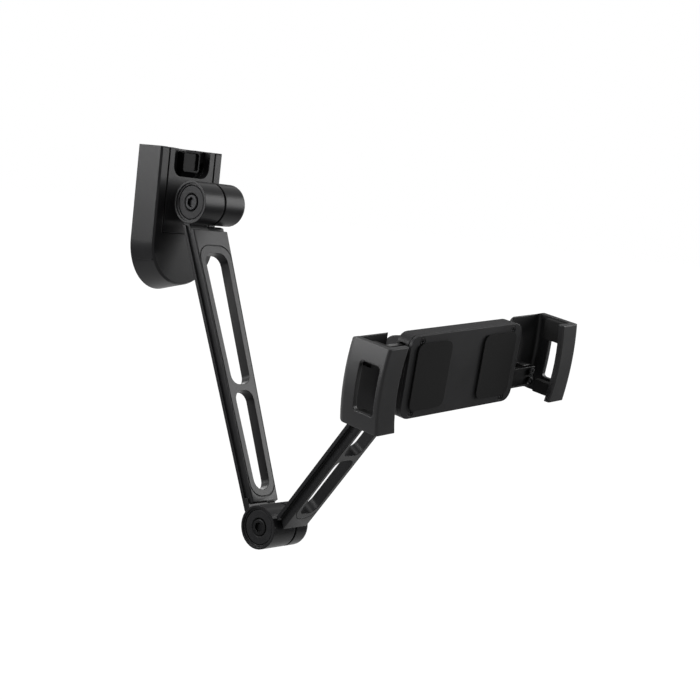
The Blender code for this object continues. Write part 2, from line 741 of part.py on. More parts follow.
def make_front_arm(frame):
    length = FRONT_ARM_LENGTH

    def half_width(y):
        return 0.0102 + 0.0010 * y / length

    def slot_half_width(y):
        return half_width(y) - FRONT_ARM_RIM

    split = ELBOW_SPLIT + WASHER_THICKNESS / 2 + GAP
    face = ELBOW_BARREL_RIGHT
    side = KNUCKLE_HALF_WIDTH
    knuckles = [
        rounded_barrel("front_arm_barrel", split, face, frame),
        box("front_arm_neck", (split + 0.0001, 0.0118), (0.007, 0.017), (0.0043, 0.0084), frame),
        rod("head_knuckle", KNUCKLE_RADIUS, -side, side, at(ALONG_X, y=length), frame),
        box("head_neck", (-side + 0.0002, side - 0.0002), (length - 0.016, length - 0.0045), (0.0043, 0.0070), frame),
    ]
    bores = [
        nut_bore("front_arm_bore", split, 0.0082, face, frame),
        rod("head_bore", HEAD_BOLT_RADIUS + GAP, -0.02, 0.02, at(ALONG_X, y=length), frame, steps=SMALL_STEPS),
    ]
    end_land = 0.0204
    slots = [
        (end_land, 0.0618, slot_half_width, 0.0055, 0.0045),
        (0.0651, length - end_land, slot_half_width, 0.0045, 0.0055),
    ]
    make_arm("front_arm", frame, 0, length, 0.0041, 0.0060, half_width, FRONT_ARM_LEDGE,
             (0.008, length - 0.008), slots, (0.0165, length - 0.0165), knuckles, bores)


# Head: a fork on the front arm's end, carrying the stem and the ball.
def make_head(frame):
    high = FORK_BLOCK_HALF_HEIGHT
    fork = rod("head_fork", KNUCKLE_RADIUS, -EAR_OUTER, EAR_OUTER, ALONG_X, frame, SATIN_BLACK)
    block = box("fork_block", (-EAR_OUTER, EAR_OUTER), (-FORK_BLOCK_FRONT, 0), (-high, high), frame)
    soften(block, 0.0012)
    combine(fork, "UNION", [block])
    slot = box("fork_slot", (-EAR_INNER, EAR_INNER), (-FORK_BLOCK_BACK, 0.02), (-0.02, 0.02), frame)
    bolt_bore = rod("fork_bore", HEAD_BOLT_RADIUS + GAP, -0.02, 0.02, ALONG_X, frame, steps=SMALL_STEPS)
    stem_bore = rod("fork_stem_bore", 0.0023, -0.02, -0.005, ALONG_Y, frame, steps=SMALL_STEPS)
    combine(fork, "DIFFERENCE", [slot, bolt_bore, stem_bore])

    head = -EAR_OUTER - GAP
    socket_bolt("head_bolt", head - 0.0026, head, EAR_OUTER + 0.0034, HEAD_BOLT_RADIUS, 0.0042, 0.0023, frame)
    hex_nut("head_nut", EAR_OUTER + GAP, EAR_OUTER + 0.0029, 0.0046, HEAD_BOLT_RADIUS + GAP, frame)

    meet = math.asin(STEM_RADIUS / BALL_RADIUS)
    steps = 12
    angles = [math.pi - (math.pi - meet) * i / steps for i in range(1, steps + 1)]
    ball = [(-STEM_LENGTH + BALL_RADIUS * math.cos(a), BALL_RADIUS * math.sin(a)) for a in angles]
    step = -FORK_BLOCK_FRONT - GAP
    profile = [(-FORK_BLOCK_BACK - 0.0004, 0), (-FORK_BLOCK_BACK - 0.0004, 0.0020), (step, 0.0020)]
    profile += [(step, STEM_RADIUS), *reversed(ball), (-STEM_LENGTH - BALL_RADIUS, 0)]
    turned("ball_stud", profile, ALONG_Y, frame, BLACK_STEEL, steps=24)


def sphere_zone(radius, start, end, steps, centre=0.0):
    """Profile points on a sphere between two angles from the axis, in degrees."""
    angles = [math.radians(start + (end - start) * i / steps) for i in range(steps + 1)]
    return [(centre + radius * math.cos(a), radius * math.sin(a)) for a in angles]


def make_ball_rings(stem_frame, holder_frame):
    inner = BALL_RADIUS + GAP
    band = sphere_zone(BAND_RADIUS, 81, 99, 2) + sphere_zone(inner, 99, 81, 2)
    turned("ball_band", band, ALONG_Y, stem_frame, NYLON, steps=24)
    seat = sphere_zone(0.0076, 122, 147, 3) + sphere_zone(inner, 147, 122, 3)
    turned("ball_seat", seat, ALONG_Y, holder_frame, NYLON, steps=24)


# Holder body: a back cover with the ball's socket, and the front plate that closes it.
def body_outline(inset=0.0):
    wide, high = BODY_HALF_WIDTH - inset, BODY_HALF_HEIGHT - inset
    return rounded_rectangle((-wide, wide), (-high, high), BODY_CORNER - inset)


def deep_slab(name, outline, front, back, display, holes=(), material=None):
    """A slab between two depths behind the display plane."""
    return slab(name, outline, -back, -front, UPRIGHT, holes, display, material)


SCREW_PLACES = [(x, z) for x in (-COVER_SCREW_SIDE, COVER_SCREW_SIDE) for z in (-COVER_SCREW_HIGH, COVER_SCREW_HIGH)]
SKIRT_FRONT = FRONT_PLATE_FRONT + FRONT_PLATE_THICKNESS + GAP


def make_holder_back(display):
    back = deep_slab("holder_back", body_outline(), SKIRT_FRONT, BACK_WALL_OUTER, display, material=BLACK_PLASTIC)
    inside = deep_slab("back_hollow", body_outline(BODY_WALL), SKIRT_FRONT - 0.001, BACK_WALL_INNER, display)
    combine(back, "DIFFERENCE", [inside])
    wall = BACK_WALL_INNER + 0.0005
    edge = BODY_HALF_HEIGHT - 0.0006
    solids = [
        rod("socket", SOCKET_RADIUS, BACK_WALL_INNER + 0.0004, SOCKET_END, ALONG_Y, display),
        rod("pinion_post", 0.002, 0.0116, wall, ALONG_Y, display, steps=24),
    ]
    for i, (x, z) in enumerate(SCREW_PLACES):
        side = 1 if z > 0 else -1
        height = sorted((side * (RACK_TOP + 0.0004), side * edge))
        solids.append(box(f"screw_post_{i}", (x - 0.0026, x + 0.0026), (SKIRT_FRONT, wall), height, display))
    for i, side in enumerate((-1, 1)):
        height = sorted((side * (RACK_TOP + 0.0004), side * (RACK_TOP + 0.0014)))
        solids.append(box(f"rack_guide_{i}", (-0.030, 0.030), (0.0125, wall), height, display))
    combine(back, "UNION", solids)

    centre = BALL_DEPTH
    floor = math.degrees(math.acos(0.0068 / SOCKET_CAVITY_RADIUS))
    mouth = math.degrees(math.acos(0.0030 / SOCKET_CAVITY_RADIUS))
    cavity = sphere_zone(SOCKET_CAVITY_RADIUS, mouth, 180 - floor, 8, centre)
    cuts = [turned("ball_cavity", [
        (SOCKET_END + 0.001, 0),
        (SOCKET_END + 0.001, cavity[0][1]),
        *cavity,
        (centre - 0.0068, 0),
    ], ALONG_Y, display, steps=24)]
    low, high = 0.0060, RACK_TOP + SLIDE_GAP
    rack_depth = (RACK_FRONT - SLIDE_GAP, RACK_FRONT + RACK_THICKNESS + SLIDE_GAP)
    for i, side in enumerate((-1, 1)):
        ends = sorted((side * (BODY_HALF_WIDTH - 0.004), side * (BODY_HALF_WIDTH + 0.002)))
        cuts.append(box(f"rack_slot_{i}", ends, rack_depth, sorted((-side * low, -side * high)), display))
    for i, (x, z) in enumerate(SCREW_PLACES):
        cuts.append(rod(f"post_hole_{i}", 0.0013, 0.0, 0.0155, at(ALONG_Y, x=x, z=z), display, steps=12))
    combine(back, "DIFFERENCE", cuts)


def make_holder_front(display):
    front, back = FRONT_PLATE_FRONT, FRONT_PLATE_FRONT + FRONT_PLATE_THICKNESS
    plate = deep_slab("holder_front", body_outline(), front, back, display, material=BLACK_PLASTIC)
    guides = []
    for i, z in enumerate((-0.011, 0.011)):
        depth = (back - 0.0003, RACK_FRONT - SLIDE_GAP)
        guides.append(box(f"front_guide_{i}", (-0.040, 0.040), depth, (z - 0.0015, z + 0.0015), display))
    combine(plate, "UNION", guides)
    holes = []
    for i, (x, z) in enumerate(SCREW_PLACES):
        holes.append(turned(f"cover_hole_{i}", [
            (back + 0.001, 0),
            (back + 0.001, 0.0013),
            (front + 0.0012, 0.0013),
            (front + 0.0012, 0.0022),
            (front - 0.001, 0.0022),
            (front - 0.001, 0),
        ], at(ALONG_Y, x=x, z=z), display, steps=12))
    combine(plate, "DIFFERENCE", holes)
    for i, (x, z) in enumerate(SCREW_PLACES):
        cross_screw(f"cover_screw_{i + 1}", x, z, front + 0.0001, front + 0.0009, 0.0150, 0.0019, display)
    for name, x in (("front_pad_left", -0.026), ("front_pad_right", 0.026)):
        outline = rounded_rectangle((x - 0.013, x + 0.013), (-0.017, 0.017), 0.004)
        deep_slab(name, outline, PAD_FRONT, PAD_FRONT + PAD_THICKNESS, display, material=BLACK_RUBBER)


def cross_screw(name, x, z, head, under, end, head_radius, parent):
    """A small screw along the depth, its head towards the tablet, with a cross in it."""
    screw = turned(name, [
        (end, 0),
        (end, 0.0010),
        (under, 0.0010),
        (under, head_radius),
        (head, head_radius),
        (head, 0),
    ], at(ALONG_Y, x=x, z=z), parent, BLACK_STEEL, steps=12)
    depth = (head - 0.001, head + 0.0005)
    wide, thin = 0.0011, 0.0003
    cross = [
        box(f"{name}_cut_a", (x - wide, x + wide), depth, (z - thin, z + thin), parent),
        box(f"{name}_cut_b", (x - thin, x + thin), depth, (z - wide, z + wide), parent),
    ]
    combine(screw, "DIFFERENCE", cross)


def make_collar(display):
    """The ring nut that clamps the ball, with flats for the fingers round its rim."""
    flutes = 12
    outline = []
    for i in range(flutes):
        middle = 360 * i / flutes
        outline += arc(0, 0, COLLAR_RADIUS, middle - 8, middle + 8, 2)
        outline += [(0.955 * COLLAR_RADIUS * math.cos(math.radians(middle + a)),
                     0.955 * COLLAR_RADIUS * math.sin(math.radians(middle + a))) for a in (11, 19)]
    collar = deep_slab("clamp_collar", outline, COLLAR_START, COLLAR_END, display, material=BLACK_PLASTIC)
    bore = SOCKET_RADIUS + GAP
    lip = BALL_DEPTH + 0.0034
    opening = turned("collar_bore", [
        (COLLAR_END + 0.001, 0),
        (COLLAR_END + 0.001, 0.0052),
        (BALL_DEPTH + 0.0044, 0.0052),
        (lip, 0.0061),
        (lip, bore),
        (COLLAR_START - 0.001, bore),
        (COLLAR_START - 0.001, 0),
    ], ALONG_Y, display, steps=24)
    combine(collar, "DIFFERENCE", [opening])


# Rack and pinion: the left jaw's rack runs above the pinion and the right jaw's below it.
def rack_outline(outer_end):
    """The upper rack, toothed below, with a gap between teeth over the pinion's middle."""
    pitch = math.pi * TOOTH_MODULE
    pitch_line = PINION_TEETH * TOOTH_MODULE / 2
    tip, root = pitch_line - 0.9 * TOOTH_MODULE, pitch_line + 1.4 * TOOTH_MODULE
    half_at_pitch, slope = 0.19 * pitch, math.tan(math.radians(22))
    half_tip = half_at_pitch - 0.9 * TOOTH_MODULE * slope
    half_root = half_at_pitch + 1.4 * TOOTH_MODULE * slope
    points = [(RACK_INNER_END, RACK_TOP), (outer_end, RACK_TOP), (outer_end, root)]
    for i in range(-6, 8):
        middle = (i + 0.5) * pitch
        points += [(middle - half_root, root), (middle - half_tip, tip)]
        points += [(middle + half_tip, tip), (middle + half_root, root)]
    return points + [(RACK_INNER_END, root)]


def pinion_outline():
    """Ten teeth with involute flanks, one of them pointing straight up."""
    pitch_radius = PINION_TEETH * TOOTH_MODULE / 2
    base_radius = pitch_radius * math.cos(math.radians(20))
    tip_radius = pitch_radius + 0.85 * TOOTH_MODULE
    root_radius = pitch_radius - 1.35 * TOOTH_MODULE
    half_tooth = 0.20 * math.tau / PINION_TEETH

    def half_angle(radius):
        """Half of a tooth's angle at a radius, from the involute of the base circle."""
        def involute(r):
            ratio = min(1.0, base_radius / r)
            return math.tan(math.acos(ratio)) - math.acos(ratio)

        return half_tooth + involute(pitch_radius) - involute(max(radius, base_radius))

    radii = [root_radius, base_radius]
    radii += [base_radius + (tip_radius - base_radius) * i / 4 for i in range(1, 5)]
    points = []
    for tooth in range(PINION_TEETH):
        middle = math.pi / 2 + math.tau * tooth / PINION_TEETH
        for side, order in ((-1, radii), (1, reversed(radii))):
            for radius in order:
                angle = middle + side * half_angle(radius)
                points.append((radius * math.cos(angle), radius * math.sin(angle)))
    return points


def make_pinion(frame):
    deep_slab("pinion", pinion_outline(), 0.0129, 0.0157, frame, [circle(0, 0, 0.0023)], BLACK_PLASTIC)
    deep_slab("pinion_washer", circle(0, 0, 0.0042), 0.0120, 0.0125, frame, [circle(0, 0, 0.0023)], PLAIN_STEEL)


# Jaws: a bowed side with a window, a lip over the display's edge and a leg behind the body.
def jaw_section(bow, lip_bow):
    """The jaw's section as (distance out, depth) points, for one height."""
    outer = JAW_OUTER + JAW_BOW * bow
    inner = outer - JAW_WALL
    edge = JAW_LIP_EDGE + JAW_LIP_BOW * lip_bow
    front, rear, turn = JAW_LIP_FRONT, JAW_REAR_BACK, JAW_ROUNDING
    front_turn, inner_turn = 0.0014, 0.0022
    back_corner = arc(outer - turn, rear - turn, turn, 0, 90, 5)
    front_corner = arc(outer - front_turn, front + front_turn, front_turn, -90, 0, 3)
    inner_corner = arc(inner - inner_turn, JAW_REAR_FRONT - inner_turn, inner_turn, 90, 0, 3)
    return (
        [(edge, front + 0.0006), (edge + 0.0006, front)]
        + front_corner
        + back_corner
        + [(JAW_REAR_END, rear), (JAW_REAR_END, JAW_REAR_FRONT)]
        + inner_corner
        + [(inner, JAW_LIP_BACK), (edge, JAW_LIP_BACK)]
    )


def make_jaw(side, frame):
    name = "left" if side < 0 else "right"
    rack_side = -side
    rings = []
    rows = 8
    for i in range(rows + 1):
        level = -1 + 2 * i / rows
        bow = 1 - level * level
        height = JAW_HALF_HEIGHT * level
        rings.append([(JAW_SHIFT + side * out, depth, height) for out, depth in jaw_section(bow, bow)])
    jaw = loft(f"{name}_jaw", rings, frame, BLACK_PLASTIC)
    centre = JAW_SHIFT + side * JAW_SCREW_SIDE
    boss_height = sorted((rack_side * 0.0062, rack_side * (RACK_TOP + 0.0002)))
    rack_back = RACK_FRONT + RACK_THICKNESS
    boss = box(f"{name}_boss", (centre - 0.003, centre + 0.003), (rack_back + GAP, JAW_REAR_FRONT + 0.001),
               boss_height, frame)
    combine(jaw, "UNION", [boss])
    window = slab(
        f"{name}_window",
        rounded_rectangle((JAW_WINDOW_FRONT, JAW_WINDOW_BACK), (JAW_WINDOW_LOW, JAW_WINDOW_HIGH), 0.0018),
        *sorted((JAW_SHIFT + side * 0.0705, JAW_SHIFT + side * 0.080)),
        SIDEWAYS,
        parent=frame,
    )
    levels = [rack_side * 0.0087, rack_side * 0.0137]
    holes = [rod(f"{name}_jaw_hole_{i}", 0.0013, rack_back - 0.001, 0.0195, at(ALONG_Y, x=centre, z=z), frame, steps=16)
             for i, z in enumerate(levels)]
    combine(jaw, "DIFFERENCE", [window, *holes])

    turn = Matrix.Identity(4) if side < 0 else Matrix.Rotation(math.pi, 4, "Y")
    outer_end = -RACK_OUTER_END - side * JAW_SHIFT
    screw_x = -JAW_SCREW_SIDE - side * JAW_SHIFT
    rack_holes = [circle(screw_x, abs(z), 0.0013, 16) for z in levels]
    slab(f"{name}_rack", rack_outline(outer_end), -rack_back, -RACK_FRONT, turn @ UPRIGHT, rack_holes, frame, BLACK_STEEL)
    for word, z in zip(("lower", "upper"), sorted(levels)):
        cross_screw(f"{name}_jaw_screw_{word}", centre, z, RACK_FRONT - 0.0015, RACK_FRONT - GAP, 0.0180, 0.0020, frame)
    pad_x = sorted((JAW_SHIFT + side * GRIP_HALF_WIDTH, JAW_SHIFT + side * (JAW_OUTER - JAW_WALL - GAP)))
    heights = {"lower": (-0.0203, JAW_WINDOW_LOW - 0.0008), "upper": (JAW_WINDOW_HIGH + 0.0008, 0.0203)}
    for word, height in heights.items():
        pad = box(f"{name}_pad_{word}", pad_x, (-0.0001, 0.0125), height, frame, BLACK_RUBBER)
        soften(pad, 0.0006)


def main():
    hinge = make_frame("wall_hinge", (0, WALL_HINGE_Y, WALL_HINGE_Z))
    wall_arm = make_frame("wall_arm_frame", hinge.location, (-math.pi / 2 - WALL_ARM_LEAN, 0, 0))
    elbow_y = WALL_HINGE_Y - WALL_ARM_LENGTH * math.sin(WALL_ARM_LEAN)
    elbow_z = WALL_HINGE_Z - WALL_ARM_LENGTH * math.cos(WALL_ARM_LEAN)
    front_arm = make_frame("front_arm_frame", (0, elbow_y, elbow_z), (math.pi - FRONT_ARM_RISE, 0, 0))
    head_y = elbow_y - FRONT_ARM_LENGTH * math.cos(FRONT_ARM_RISE)
    head_z = elbow_z + FRONT_ARM_LENGTH * math.sin(FRONT_ARM_RISE)
    head = make_frame("head_frame", (0, head_y, head_z), (STEM_DROP, 0, 0))
    ball_place = (0, head_y - STEM_LENGTH * math.cos(STEM_DROP), head_z - STEM_LENGTH * math.sin(STEM_DROP))
    ball = make_frame("ball_frame", ball_place, (STEM_DROP, 0, 0))
    holder = make_frame("holder_frame", ball_place, (HOLDER_TILT, HOLDER_ROLL, HOLDER_PAN), "YXZ")
    display = make_frame("display_frame", (0, -BALL_DEPTH, 0), parent=holder)
    catch = make_frame("catch_frame", (0, 0, CATCH_CENTRE))

    make_housing()
    make_slide_plate(hinge)
    make_catch(catch)
    make_catch_spring()
    make_wall_arm(wall_arm)
    make_hinge_hardware("wall_hinge", -WALL_BARREL_LEFT, 0, 0.0098, 0.0134, WALL_BARREL_RIGHT,
                        hinge, wall_arm)
    make_front_arm(front_arm)
    elbow = bpy.data.objects["wall_arm_elbow_end"]
    make_hinge_hardware("elbow", -ELBOW_BARREL_LEFT, ELBOW_SPLIT, 0.0085, 0.0112,
                        ELBOW_BARREL_RIGHT, front_arm, elbow)
    make_head(head)
    make_ball_rings(ball, holder)
    make_holder_back(display)
    make_holder_front(display)
    make_collar(display)
    make_pinion(display)
    for side in (-1, 1):
        make_jaw(side, display)


main()
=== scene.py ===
"""Folding wall mount with two sliding jaws: finishes, studio light and the photographer's view."""

import json
import math

import bmesh
import bpy
from mathutils import Matrix, Vector


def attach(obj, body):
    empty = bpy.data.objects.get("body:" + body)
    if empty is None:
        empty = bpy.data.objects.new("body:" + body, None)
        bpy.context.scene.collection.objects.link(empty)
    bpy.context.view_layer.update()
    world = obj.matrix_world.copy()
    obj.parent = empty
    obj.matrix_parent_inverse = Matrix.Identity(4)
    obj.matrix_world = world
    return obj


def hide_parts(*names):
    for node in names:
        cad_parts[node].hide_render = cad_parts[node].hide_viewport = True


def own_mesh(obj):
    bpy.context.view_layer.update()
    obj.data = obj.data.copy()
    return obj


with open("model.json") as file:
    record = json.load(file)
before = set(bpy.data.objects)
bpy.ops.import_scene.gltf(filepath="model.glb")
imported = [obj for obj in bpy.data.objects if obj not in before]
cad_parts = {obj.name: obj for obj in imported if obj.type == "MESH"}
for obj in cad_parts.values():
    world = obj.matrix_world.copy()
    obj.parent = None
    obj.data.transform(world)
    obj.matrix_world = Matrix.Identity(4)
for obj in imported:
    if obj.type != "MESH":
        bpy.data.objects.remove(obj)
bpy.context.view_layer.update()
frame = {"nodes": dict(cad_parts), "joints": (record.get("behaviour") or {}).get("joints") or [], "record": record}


# Camera
# A long lens, level with the housing and to the left of the mount.
view = bpy.data.cameras.new("view")
view.lens = 80.1
view.sensor_width = 36
camera = bpy.data.objects.new("view", view)
camera.location = (-0.6458, -0.64745, 0.0165)
camera.rotation_euler = [math.radians(turn) for turn in (84.8675, -6.1121, -51.6421)]
bpy.context.scene.collection.objects.link(camera)
bpy.context.scene.camera = camera


# Wall housing
# A hollow die casting with a round lower end, screwed flat to the wall. It is powder coated
# satin black, which leaves a fine pebbled skin with a soft sheen.
class Shade:
    """A value inside a finish. Sums and products with it become nodes of that finish."""

    def __init__(self, tree, socket=None):
        self.tree = tree
        self.socket = socket

    def feed(self, node, sockets):
        """Links each named socket of the node to a shade, or sets it to a plain value."""
        for name, value in sockets.items():
            if isinstance(value, Shade):
                self.tree.links.new(value.socket, node.inputs[name])
            else:
                node.inputs[name].default_value = value

    def node(self, kind, sockets=None, output=0, **settings):
        """A new node of that kind. Its settings are made first, because they decide its sockets."""
        made = self.tree.nodes.new("ShaderNode" + kind)
        for name, value in settings.items():
            setattr(made, name, value)
        self.feed(made, sockets or {})
        return Shade(self.tree, made.outputs[output] if made.outputs else None)

    def maths(self, operation, first, second):
        return self.node("Math", {0: first, 1: second}, operation=operation)

    def __add__(self, other):
        return self.maths("ADD", self, other)

    def __mul__(self, other):
        return self.maths("MULTIPLY", self, other)

    __radd__ = __add__
    __rmul__ = __mul__

    def blend(self, low, high):
        """The colour low where this value is 0, and high where it is 1."""
        factor, first_colour, second_colour, mixed_colour = 0, 6, 7, 2
        sockets = {factor: self, first_colour: (*low, 1), second_colour: (*high, 1)}
        return self.node("Mix", sockets, output=mixed_colour, data_type="RGBA")

    def noise(self, scale, detail, roughness=0.5):
        """Cloudy noise over this place, with that many clouds to a metre."""
        sockets = {"Vector": self, "Scale": scale, "Detail": detail, "Roughness": roughness}
        return self.node("TexNoise", sockets)


def new_finish(name):
    """An empty finish with its Principled shader, and the place on the piece in metres."""
    finish = bpy.data.materials.new(name)
    finish.use_nodes = True
    place = Shade(finish.node_tree).node("TexCoord", output="Object")
    return finish, finish.node_tree.nodes["Principled BSDF"], place


def soft_edges(radius, relief, depth, strength):
    """The surface's normal with its edges rounded to that radius and the relief on top."""
    rounded = relief.node("Bevel", {"Radius": radius}, samples=6)
    sockets = {"Height": relief, "Distance": depth, "Strength": strength, "Normal": rounded}
    return relief.node("Bump", sockets)


def dust(place):
    """1 on faces that look straight up at rest, where fine dust dulls the gloss, else 0."""
    facing = place.node("TexCoord", output="Normal")
    upward = place.node("SeparateXYZ", {"Vector": facing}, output="Z")
    return place.node("MapRange", {"Value": upward, "From Min": 0.9, "From Max": 0.99})


def powder_coat():
    finish, shader, place = new_finish("satin_black_metal")
    pebbles = place.noise(scale=2100, detail=2, roughness=0.45)
    drift = place.noise(scale=55, detail=3)
    specks = place.noise(scale=900, detail=1)
    black, greyer = (0.005, 0.005, 0.0054), (0.009, 0.009, 0.0095)
    place.feed(
        shader,
        {
            "Base Color": drift.blend(black, greyer),
            "Roughness": 0.3 + drift * 0.06 + specks * 0.05 + dust(place) * 0.5,
            "Specular IOR Level": 0.1,
            "Normal": soft_edges(radius=0.0005, relief=pebbles, depth=0.00005, strength=0.35),
        },
    )
    return finish


smooth_limit = math.radians(32)
flat_limit = math.radians(0.4)
weld_distance = 1e-6
sliver_width = 5e-6
bodies = frame["record"]["behaviour"]["bodies"]
body_of = {node: body for body, members in bodies.items() for node in members}


def even_shading(mesh):
    """Shades rounds smooth and keeps flat faces flat: at each corner the larger faces decide."""
    mesh.shade_smooth()
    mesh.set_sharp_from_angle(angle=smooth_limit)
    around = {}
    for face in mesh.polygons:
        for point in face.vertices:
            around.setdefault(point, []).append((face.normal.copy(), face.area))
    normals = []
    for face in mesh.polygons:
        for point in face.vertices:
            total = Vector((0, 0, 0))
            for normal, area in around[point]:
                if normal.dot(face.normal) > math.cos(smooth_limit):
                    total += normal * area
            normals.append(total.normalized())
    mesh.normals_split_custom_set(normals)


def new_object(name, shape):
    """An object in the scene made from the shape, which is then gone."""
    mesh = bpy.data.meshes.new(name)
    shape.to_mesh(mesh)
    shape.free()
    made = bpy.data.objects.new(name, mesh)
    bpy.context.scene.collection.objects.link(made)
    return made


def dressed(node, finish):
    """A CAD node's solid in that finish, its triangles joined and its rounds shaded smooth."""
    shape = bmesh.new()
    shape.from_mesh(frame["nodes"][node].data)
    bmesh.ops.remove_doubles(shape, verts=shape.verts, dist=weld_distance)
    bmesh.ops.dissolve_degenerate(shape, dist=sliver_width, edges=shape.edges)
    bmesh.ops.dissolve_limit(shape, angle_limit=flat_limit, verts=shape.verts, edges=shape.edges)
    piece = new_object(node + "_skin", shape)
    even_shading(piece.data)
    piece.data.materials.append(finish)
    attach(piece, body_of[node])
    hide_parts(node)
    return piece


coated = powder_coat()
dressed("wall_housing", coated)


# Slide plate and spring catch
# The plate is a casting that drops into the housing's dovetail. A polished plastic button on
# a bright steel coil holds it down, and a steel clip keeps the button in.
def polished_plastic():
    finish, shader, place = new_finish("gloss_black_catch")
    waves = place.noise(scale=160, detail=2)
    black, greyer = (0.002, 0.002, 0.0022), (0.004, 0.004, 0.0043)
    place.feed(
        shader,
        {
            "Base Color": waves.blend(black, greyer),
            "Roughness": 0.26 + waves * 0.06,
            "Specular IOR Level": 0.025,
            "Normal": soft_edges(radius=0.0004, relief=waves, depth=0.0001, strength=0.1),
        },
    )
    return finish


def bright_steel():
    finish, shader, place = new_finish("plain_steel")
    grain = place.noise(scale=1500, detail=4)
    stains = place.noise(scale=200, detail=2)
    stained, clean = (0.46, 0.46, 0.47), (0.58, 0.58, 0.59)
    place.feed(
        shader,
        {
            "Base Color": stains.blend(stained, clean),
            "Metallic": 1,
            "Roughness": 0.26 + grain * 0.14,
            "Normal": soft_edges(radius=0.0001, relief=grain, depth=0.00002, strength=0.3),
        },
    )
    return finish


def prism(name, outline, ends, where):
    """A cutter with that outline in depth and height, from end to end across, moved by where."""
    shape = bmesh.new()
    end = shape.faces.new([shape.verts.new((ends[0], depth, height)) for depth, height in outline])
    grown = bmesh.ops.extrude_face_region(shape, geom=[end], use_keep_orig=True)["geom"]
    moved = [item for item in grown if isinstance(item, bmesh.types.BMVert)]
    bmesh.ops.translate(shape, verts=moved, vec=(ends[1] - ends[0], 0, 0))
    bmesh.ops.transform(shape, verts=shape.verts, matrix=where)
    bmesh.ops.recalc_face_normals(shape, faces=shape.faces)
    return new_object(name, shape)


def carve(piece, operation, cutter):
    """Cuts the piece with the cutter, which is then gone."""
    cut = piece.modifiers.new("cut", "BOOLEAN")
    cut.operation = operation
    cut.solver = "EXACT"
    cut.object = cutter
    graph = bpy.context.evaluated_depsgraph_get()
    shape = bmesh.new()
    shape.from_object(piece, graph)
    piece.modifiers.remove(cut)
    bmesh.ops.dissolve_degenerate(shape, dist=sliver_width, edges=shape.edges)
    shape.to_mesh(piece.data)
    shape.free()
    even_shading(piece.data)
    bpy.data.objects.remove(cutter)


# The seam at each side of the plate is 1 mm wide where it shows.
plate = dressed("slide_plate", coated)
seam_front, seam_bottom, seam_foot, seam_top = -0.0184, -0.0172, -0.0072, 0.042
seam_inside, seam_outside = 0.018, 0.0189
seam = [
    (seam_front, seam_foot),
    (seam_bottom, seam_foot),
    (seam_bottom, seam_top),
    (seam_front, seam_top),
]
for ends in ((-seam_outside, -seam_inside), (seam_inside, seam_outside)):
    carve(plate, "DIFFERENCE", prism("plate_seam", seam, ends, Matrix()))

dressed("release_catch", polished_plastic())
steel = bright_steel()
dressed("catch_clip", steel)
spring = dressed("catch_spring", steel)
joint_of = {joint["name"]: joint for joint in frame["joints"]}
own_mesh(spring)


# Wall hinge
# A socket bolt and a locking nut draw the two barrels together, with a turned disc under the
# bolt's head and a nylon washer between the barrels. A moulded cap covers the nut.
def turned_metal(name, low, high, metallic, centre):
    """Metal turned on a lathe, with fine rings round an axis along X through the centre."""
    finish, shader, place = new_finish(name)
    flat = place.node("Mapping", {"Vector": place, "Location": -Vector(centre), "Scale": (0, 1, 1)})
    rings = place.node(
        "TexWave",
        {"Vector": flat, "Scale": 900, "Distortion": 0.6, "Detail": 2, "Detail Scale": 3},
        wave_type="RINGS",
        rings_direction="X",
        output="Fac",
    )
    patches = place.noise(scale=350, detail=3)
    place.feed(
        shader,
        {
            "Base Color": patches.blend(low, high),
            "Metallic": metallic,
            "Roughness": 0.34 + patches * 0.1 + rings * 0.05,
            "Specular IOR Level": 0.07,
            "Normal": soft_edges(radius=0.0003, relief=rings, depth=0.00002, strength=0.25),
        },
    )
    return finish


def moulded_plastic():
    finish, shader, place = new_finish("black_plastic")
    sparks = place.noise(scale=3200, detail=3, roughness=0.6)
    drift = place.noise(scale=70, detail=2)
    black, greyer = (0.007, 0.007, 0.0075), (0.011, 0.011, 0.0115)
    place.feed(
        shader,
        {
            "Base Color": drift.blend(black, greyer),
            "Roughness": 0.38 + drift * 0.08 + sparks * 0.08 + dust(place) * 0.4,
            "Specular IOR Level": 0.12,
            "Normal": soft_edges(radius=0.0005, relief=sparks, depth=0.00004, strength=0.4),
        },
    )
    return finish


def nylon():
    finish, shader, place = new_finish("nylon")
    cloud = place.noise(scale=130, detail=3)
    black, greyer = (0.008, 0.008, 0.0085), (0.013, 0.013, 0.0135)
    place.feed(
        shader,
        {
            "Base Color": cloud.blend(black, greyer),
            "Roughness": 0.42 + cloud * 0.1,
            "Specular IOR Level": 0.12,
            "Normal": soft_edges(radius=0.0002, relief=cloud, depth=0.00005, strength=0.2),
        },
    )
    return finish


hinge_centre = joint_of["wall_hinge_turn"]["pos_m"]
black_steel = turned_metal(
    "black_oxide_steel",
    low=(0.009, 0.009, 0.0094),
    high=(0.016, 0.016, 0.0165),
    metallic=1,
    centre=hinge_centre,
)
anodised = turned_metal(
    "dark_disc",
    low=(0.006, 0.006, 0.0065),
    high=(0.011, 0.011, 0.0115),
    metallic=0,
    centre=hinge_centre,
)
black_nylon = nylon()
plastic = moulded_plastic()
dressed("wall_hinge_bolt", black_steel)
dressed("wall_hinge_nut", black_steel)
dressed("wall_hinge_washer", black_nylon)
dressed("wall_hinge_disc", anodised)
dressed("wall_hinge_cap", plastic)


# Arms and elbow
# Two cast arms with long slots and a groove down each face, joined by a second hinge that is
# bolted like the first one.
dressed("wall_arm", coated)
dressed("front_arm", coated)
dressed("elbow_disc", anodised)
dressed("elbow_bolt", black_steel)
dressed("elbow_nut", black_steel)
dressed("elbow_washer", black_nylon)
dressed("elbow_cap", plastic)


